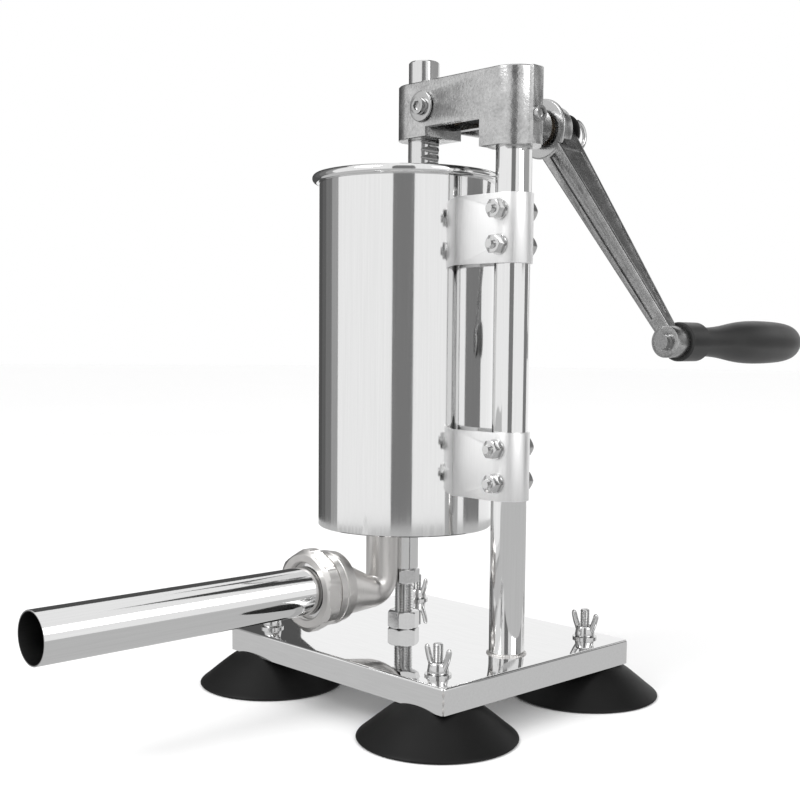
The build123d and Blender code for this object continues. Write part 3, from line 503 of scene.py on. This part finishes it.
def dress(node):
    """Give a node its material, join its loose triangles and break its sharp edges with modifiers."""
    piece = nodes[node]
    piece.data.materials.clear()
    piece.data.materials.append(own_finish.get(node) or finish_of_slot[slot_of[node]])
    piece.data.polygons.foreach_set("use_smooth", [True] * len(piece.data.polygons))
    weld = piece.modifiers.new("join", "WELD")
    weld.merge_threshold = join_distance
    if node in softened:
        bevel = piece.modifiers.new("soft_edges", "BEVEL")
        bevel.limit_method, bevel.angle_limit = "ANGLE", math.radians(bevel_angle)
        bevel.width, bevel.segments = softened[node] * MM, 2
    split = piece.modifiers.new("crisp_edges", "EDGE_SPLIT")
    split.split_angle = math.radians(crisp_angle)


for node in nodes:
    dress(node)
print(f"{len(nodes)} nodes dressed")

# %% [markdown]
# ## Suction cups
#
# A suction cup is one moulding: a short neck that holds its stud, a shoulder, and a skirt that thins out to
# a lip. Turning a smooth profile round the stud gives it, and a curve through a few knots keeps the
# skirt's swell free of corners. The inside is hollow, because the cup can be seen from below.

# %% Four cups turned from one profile
cups = [node for node in nodes if node.startswith("suction_cup")]
for node in cups:
    spot = middle(node) * (1, 1, 0)
    rim, top = (high(node)[0] - low(node)[0]) / 2, high(node)[2]
    skirt = smooth_curve([
        (rim - 0.9 * MM, 0), (rim, 0.5 * MM), (rim, 1.7 * MM), (0.90 * rim, 5.4 * MM),
        (0.76 * rim, 10.6 * MM), (0.60 * rim, 16.2 * MM), (0.45 * rim, 20.3 * MM),
        (0.32 * rim, 22.6 * MM), (0.23 * rim, 24.6 * MM),
    ])
    inside = smooth_curve([
        (0.0001, 14.5 * MM), (0.20 * rim, 14.3 * MM), (0.42 * rim, 12.4 * MM), (0.66 * rim, 7.8 * MM),
        (0.88 * rim, 2.2 * MM), (rim - 2.4 * MM, 0),
    ])
    profile = np.concatenate([inside, skirt, [(0.22 * rim, top), (0.0001, top)]])
    build(node + "_bell", [turned(profile, spot)], "stand", "black_rubber", 50, [node])

# %% [markdown]
# ## Studs and wing nuts
#
# Each cup's stud comes up through the plate and is held by a wing nut. The wings are pressed: each is a
# flat lobe that leans out from the hub and ends in a round tip. A swept oval whose width falls as a quarter
# circle over its last part gives the lobe, and every nut rides on its own body so that it can turn.

# %% The studs' threads
studs_low, studs_high = low("cup_studs"), high("cup_studs")
studs = [
    threaded(*coarse_thread[6], studs_low[2], studs_high[2], middle(node) * (1, 1, 0), sides=28)
    for node in cups
]
build("threaded_studs", studs, "stand", "zinc_fastener", 70, ["cup_studs"])

# %% The wing nuts
bore_r, foot_r, top_r, hub_height = 3.05, 6.0, 4.5, 6.5
hub = np.array([
    (bore_r, 0), (foot_r - 0.3, 0), (foot_r, 0.4), (foot_r, 1.3), (5.5, 4.6), (5.0, 6.1),
    (top_r, hub_height), (3.4, hub_height), (bore_r, hub_height - 0.4),
]) * MM
wing = np.array([(3.9, 0, 2.2), (5.2, 0, 4.6), (6.9, 0, 8.2), (8.2, 0, 12.0), (8.9, 0, 15.0)]) * MM
share, tip_length = np.linspace(0, 1, 25), 0.20
round_tip = np.sqrt(1 - np.clip((share - 1 + tip_length) / tip_length, 0, 0.995) ** 2)
wing_wide = (2.1 - 0.3 * share) * round_tip * MM
wing_thick = (1.6 - 0.5 * share) * round_tip * MM
for node in [node for node in nodes if node.startswith("wing_nut")]:
    spot, base = middle(node) * (1, 1, 0), low(node)[2]
    shells = [turned(hub + (0, base), spot, sides=48, ring=True)]
    for side in (-1, 1):
        path = smooth_curve(wing * (side, 1, 1) + spot + (0, 0, base), 6)
        shells.append(swept(path, (0, 1, 0), wing_wide, wing_thick, 24))
    build(node + "_winged", shells, node, "zinc_fastener", 40, [node])

# %% [markdown]
# ## Bolts and nuts
#
# The support bolt under the tank is a full-length M12 screw: its head bears on the tank's boss and two nuts
# clamp the plate. The brackets close on the column with two M6 bolts each.
# All are hexagons cut back by a cone, on coarse threads.

# %% The support bolt with its nuts
tank_axis = middle("tank_shell") * (1, 1, 0)
bolt_low, bolt_high = low("support_bolt"), high("support_bolt")
nuts_low, nuts_high = low("support_nuts"), high("support_nuts")
plate_top = high("base_plate")[2]
support_flats, head_height, nut_height = 18 * MM, 9 * MM, nuts_high[2] - plate_top
head_bottom = bolt_high[2] - head_height
head_and_nuts = [
    hex_body(support_flats, head_bottom, bolt_high[2], tank_axis, side=(0, 1, 0)),
    hex_body(support_flats, plate_top, nuts_high[2], tank_axis, side=(0, 1, 0)),
    hex_body(support_flats, nuts_low[2], nuts_low[2] + nut_height, tank_axis, side=(0, 1, 0)),
]
shank = threaded(*coarse_thread[12], bolt_low[2], head_bottom + 0.2 * MM, tank_axis, sides=48)
build(
    "support_screw", head_and_nuts + [shank], "stand", "zinc_fastener", 32,
    ["support_bolt", "support_nuts"],
)

# %% The brackets' bolts
column_axis = middle("column_tube") * (1, 1, 0)
end_y, head_y = low("bracket_bolts")[1], high("bracket_bolts")[1]
nut_low, nut_high = low("bracket_nuts")[1], high("bracket_nuts")[1]
along_y = {"direction": (0, 1, 0), "side": (0, 0, 1)}
clamp_flats, clamp_head, sunk = 10 * MM, 4 * MM, 1 * MM
bolt_rises = (10.5 * MM, 30.5 * MM)
shells = []
for bracket in ("bracket_lower", "bracket_upper"):
    for rise in bolt_rises:
        spot = column_axis * (1, 0, 0) + (0, 0, low(bracket)[2] + rise)
        shells.append(hex_body(clamp_flats, head_y - clamp_head, head_y, spot, **along_y, both=False))
        shells.append(hex_body(clamp_flats, nut_low, nut_high, spot, **along_y))
        shank_end = head_y - clamp_head + sunk
        shells.append(threaded(*coarse_thread[6], end_y, shank_end, spot, (0, 1, 0), 32))
build("bracket_screws", shells, "stand", "zinc_fastener", 32, ["bracket_bolts", "bracket_nuts"])

# %% [markdown]
# ## Union nut
#
# The union nut draws the tube's flange against the elbow. It is a turned body whose radius at each depth is
# the hexagon's or the outline's, whichever is smaller. That rounds the corners off at both ends and leaves
# a round skirt with two grooves behind them. The bore is wider than the tube, so a dark gap shows round it.

# %% A hexagon ring with a skirt
nut_axis = middle("union_nut") * (1, 0, 1)
face = low("union_nut")[1]
flat_r, corner_r, skirt_r, groove_r, step_r = 23.0, 25.0, 22.5, 21.8, 22.1
thread_r, bore_r, lip_thick, length = 20.05, 17.25, 3.0, 19.5
outline = np.array([  # depth from the nut's outer face and greatest radius, in millimetres
    (0.0, 21.9), (0.6, 22.9), (1.2, 23.9), (1.9, corner_r), (8.6, corner_r), (9.3, 23.9), (9.9, 22.9),
    (10.5, skirt_r), (10.7, groove_r), (11.3, groove_r), (11.5, skirt_r), (15.6, skirt_r),
    (15.9, step_r), (16.4, step_r), (16.7, skirt_r), (length - 0.5, skirt_r), (length, skirt_r - 0.5),
    (length, thread_r), (lip_thick, thread_r), (lip_thick, bore_r), (0.5, bore_r), (0.0, 17.8),
])
turn = np.arange(144) * 2 * np.pi / 144
height = outline[:, :1] * MM + face + 0 * turn
radius = np.minimum(flat_r * hexagon(turn), outline[:, 1:]) * MM
local = np.stack([radius * np.cos(turn), radius * np.sin(turn), height], -1)
points = nut_axis + local @ axes_of((0, 1, 0), (1, 0, 0))
build("union_nut_turned", [shell(points, True)], "union_nut", "satin_steel", 22, ["union_nut"])

# %% [markdown]
# ## Weld beads
#
# The column, the outlet and the boss are welded on. A bead is a ring of round section whose size ripples
# as the pool was moved along. The plate's folded corner is closed with a short row of tacks.

# %% Beads round the joints and tacks down the corner
tank_bottom = low("tank_shell")[2]
leg_axis = middle("outlet_leg")
column_joint_r, leg_joint_r, boss_joint_r = 11.0 * MM, 10.4 * MM, 9.3 * MM
build("column_bead", [
    bead_ring(column_joint_r, column_axis + (0, 0, plate_top + 0.1 * MM), 0.8 * MM, ripple=0.35, count=44),
], "stand", "satin_steel", 60, ["column_weld"])
build("tank_beads", [
    bead_ring(leg_joint_r, leg_axis * (1, 1, 0) + (0, 0, tank_bottom), 1.1 * MM, ripple=0.4, count=38),
    bead_ring(boss_joint_r, tank_axis + (0, 0, tank_bottom), 1.0 * MM, ripple=0.4, count=34),
], "stand", "satin_steel", 60)
seam = low("base_plate") * (0, 1, 1) + high("base_plate") * (1, 0, 0) + np.array([-1.1, 1.1, 0.4]) * MM
seam_height, waves_per_metre = 12.5 * MM, 700
up = np.linspace(0, seam_height, 60)
tacks = (0.55 + 0.35 * np.abs(np.sin(up * waves_per_metre))) * MM
path = seam + up[:, None] * np.array([0, 0, 1.0])
build("corner_tacks", [swept(path, (0.7071, 0.7071, 0), tacks, tacks, 12)], "stand", "satin_steel", 60)

# %% [markdown]
# ## Bow of the thumb screw
#
# The crank is held on its shaft by a screw with a bent wire bow, which is turned by hand. The wire is a
# round section carried along two straight legs and a half circle. Each leg joins the far end of the half
# circle, so the wire crosses over itself, where a real one doesn't.

# %% Wire, flange and shank in one piece
screw_axis = middle("crank_washer") * (1, 0, 1)
seat, bow_end = high("crank_washer")[1], high("thumb_screw")[1]
wire_r, bow_r = 1.5 * MM, 9.5 * MM
flange_r, flange_thick, sunk = 11.5 * MM, 2.5 * MM, 1 * MM
bend_y = bow_end - bow_r - wire_r
half = np.linspace(np.pi, 0, 33)
bend = np.stack([0 * half, bend_y + bow_r * np.sin(half), bow_r * np.cos(half)], -1)
leg = np.array([(0, seat + sunk, bow_r), (0, (seat + bend_y) / 2, bow_r)])
path = screw_axis + np.concatenate([leg, bend, leg[::-1] * (1, 1, -1)])
flange = plate_ring(0.2 * MM, flange_r, seat, seat + flange_thick, screw_axis, (0, 1, 0), 0.6 * MM)
shank_start = low("thumb_screw")[1]
shank = threaded(*coarse_thread[8], shank_start, seat + 0.5 * MM, screw_axis, (0, 1, 0))
bow = swept(path, (1, 0, 0), wire_r, wire_r, 24)
build("wire_bow", [bow, flange, shank], "thumb_screw", "zinc_fastener", 40, ["thumb_screw"])

# %% [markdown]
# ## Camera, floor and light
#
# A lens at a little over half the object's height looks towards the near corner of the base, tilted slightly
# down. The floor is a plain pale disc. Mirror finishes show the room, so the room matters more than the
# lamps: it is a white tent with a grey panel behind the camera and grey and dark ones to its left and right.

# %% The camera


def aim(place, heading, tilt, roll):
    """A camera matrix from a place, a heading from +Y towards -X, a tilt down and a roll, in degrees."""
    heading, tilt, roll = (math.radians(angle) for angle in (heading, tilt, roll))
    ahead = Vector((-math.sin(heading) * math.cos(tilt), math.cos(heading) * math.cos(tilt), -math.sin(tilt)))
    level = Vector((math.cos(heading), math.sin(heading), 0))
    upright = level.cross(ahead)
    right = level * math.cos(roll) + upright * math.sin(roll)
    above = upright * math.cos(roll) - level * math.sin(roll)
    return Matrix((
        (right.x, above.x, -ahead.x, place[0]),
        (right.y, above.y, -ahead.y, place[1]),
        (right.z, above.z, -ahead.z, place[2]),
        (0, 0, 0, 1),
    ))


camera_place = (0.5419, -0.5377, 0.2204)
camera_data = bpy.data.cameras.new("camera")
camera_data.lens = 55.12
camera_data.shift_y = 0.0473
camera_data.clip_start, camera_data.clip_end = 0.01, 50
camera = bpy.data.objects.new("camera", camera_data)
camera.matrix_world = aim(camera_place, 46.55, 4.64, 0.48)
bpy.context.scene.collection.objects.link(camera)
bpy.context.scene.camera = camera

# %% Floor and panels


def stage_surface(name, points, material):
    """A sheet from a grid of points that isn't part of the object."""
    rows, columns = points.shape[:2]
    index = np.arange(rows * columns).reshape(rows, columns)
    quads = np.stack([index[:-1, :-1], index[:-1, 1:], index[1:, 1:], index[1:, :-1]], -1).reshape(-1, 4)
    mesh = bpy.data.meshes.new(name)
    mesh.from_pydata(points.reshape(-1, 3).tolist(), [], quads.tolist())
    mesh.materials.append(material)
    sheet = bpy.data.objects.new(name, mesh)
    bpy.context.scene.collection.objects.link(sheet)
    return sheet


def matt(name, shade):
    """A plain matt surface with a very faint paper grain."""
    paint = Paint(name, Metallic=0.0)
    tone = paint.blend(paint.noise(3.0), grey(shade * 0.99), grey(shade))
    return paint.finish(Base_Color=tone, Roughness=paint.noise(20.0) * 0.1 + 0.85)


def glow(name, shade):
    """A panel that shows the same even tone however it is lit."""
    paint = Paint(name, Metallic=0.0, Roughness=1.0, Specular_IOR_Level=0.0)
    black = (0, 0, 0, 1)
    paint.set(paint.shader, {"Base Color": black, "Emission Color": grey(shade), "Emission Strength": 1.0})
    return paint.material


def floor_disc(radius, height, rows=3, sides=64):
    """A disc as rings of points round the origin."""
    turn = np.arange(sides + 1) * 2 * np.pi / sides
    ring = np.linspace(0.0001, radius, rows)[:, None]
    return np.stack([ring * np.cos(turn), ring * np.sin(turn), height + 0 * ring * turn], -1)


floor = stage_surface("floor", floor_disc(9.0, 0.0), matt("floor_paper", 0.985))
floor.visible_glossy = False
# a darker glowing disc just under the floor, seen only in reflections: painted shade on the floor as the
# metal mirrors it
floor_shade_in_reflections = stage_surface("floor_shade_in_reflections", floor_disc(0.75, -0.0005), glow("floor_shade_in_reflections", 0.58))
floor_shade_in_reflections.visible_camera = floor_shade_in_reflections.visible_diffuse = floor_shade_in_reflections.visible_shadow = False


def panel(name, start, end, bottom, top, shade, radius=2.2):
    """A curved upright panel round the object, between two bearings from the camera's side, in degrees.

    A bearing of 0 is the camera's own, and it grows towards the camera's right.
    """
    camera_bearing = math.atan2(camera_place[1], camera_place[0])
    turn = camera_bearing + np.radians(np.linspace(start, end, 24))[None]
    height = np.linspace(bottom, top, 8)[:, None]
    x, y, z = np.broadcast_arrays(radius * np.cos(turn), radius * np.sin(turn), height)
    sheet = stage_surface(name, np.stack([x, y, z], -1), glow(name, shade))
    sheet.visible_camera = sheet.visible_diffuse = sheet.visible_shadow = False


for name, start, end, bottom, top, shade in (
    ("panel_camera", -17, 10, -2.0, 3.0, 0.22),
    ("panel_left_far", -172, -142, -2.0, 3.0, 0.09),
    ("panel_left_back", -142, -128, -2.0, 3.0, 0.13),
    ("panel_left_middle", -128, -112, -2.0, 3.0, 0.20),
    ("panel_left_side", -112, -98, -2.0, 3.0, 0.38),
    ("panel_right_ceiling", 70, 176, 2.0, 6.5, 0.06),
    ("panel_right_high", 60, 140, 1.3, 2.0, 0.22),
    ("panel_right_middle", 60, 110, 0.62, 1.3, 0.40),
    ("panel_right_low", 84, 116, -0.3, 0.62, 0.22),
):
    panel(name, start, end, bottom, top, shade)

# %% Sky and lamps
world = bpy.data.worlds.new("tent")
world.use_nodes = True
world.node_tree.nodes["Background"].inputs["Color"].default_value = (1, 1, 1, 1)
world.node_tree.nodes["Background"].inputs["Strength"].default_value = 1.0
bpy.context.scene.world = world
bpy.context.scene.view_settings.view_transform = "Standard"


def soft_box(name, place, target, size, power):
    """A square area lamp that looks at a target."""
    lamp = bpy.data.lights.new(name, "AREA")
    lamp.shape, lamp.size, lamp.energy = "SQUARE", size, power
    made = bpy.data.objects.new(name, lamp)
    away = Vector(place) - Vector(target)
    made.matrix_world = Matrix.Translation(place) @ away.to_track_quat("Z", "Y").to_matrix().to_4x4()
    bpy.context.scene.collection.objects.link(made)


soft_box("key", (-0.3, -1.6, 1.7), (0, 0, 0.2), 0.9, 16)
soft_box("fill", (1.8, 0.1, 1.2), (0, 0, 0.2), 0.9, 8)
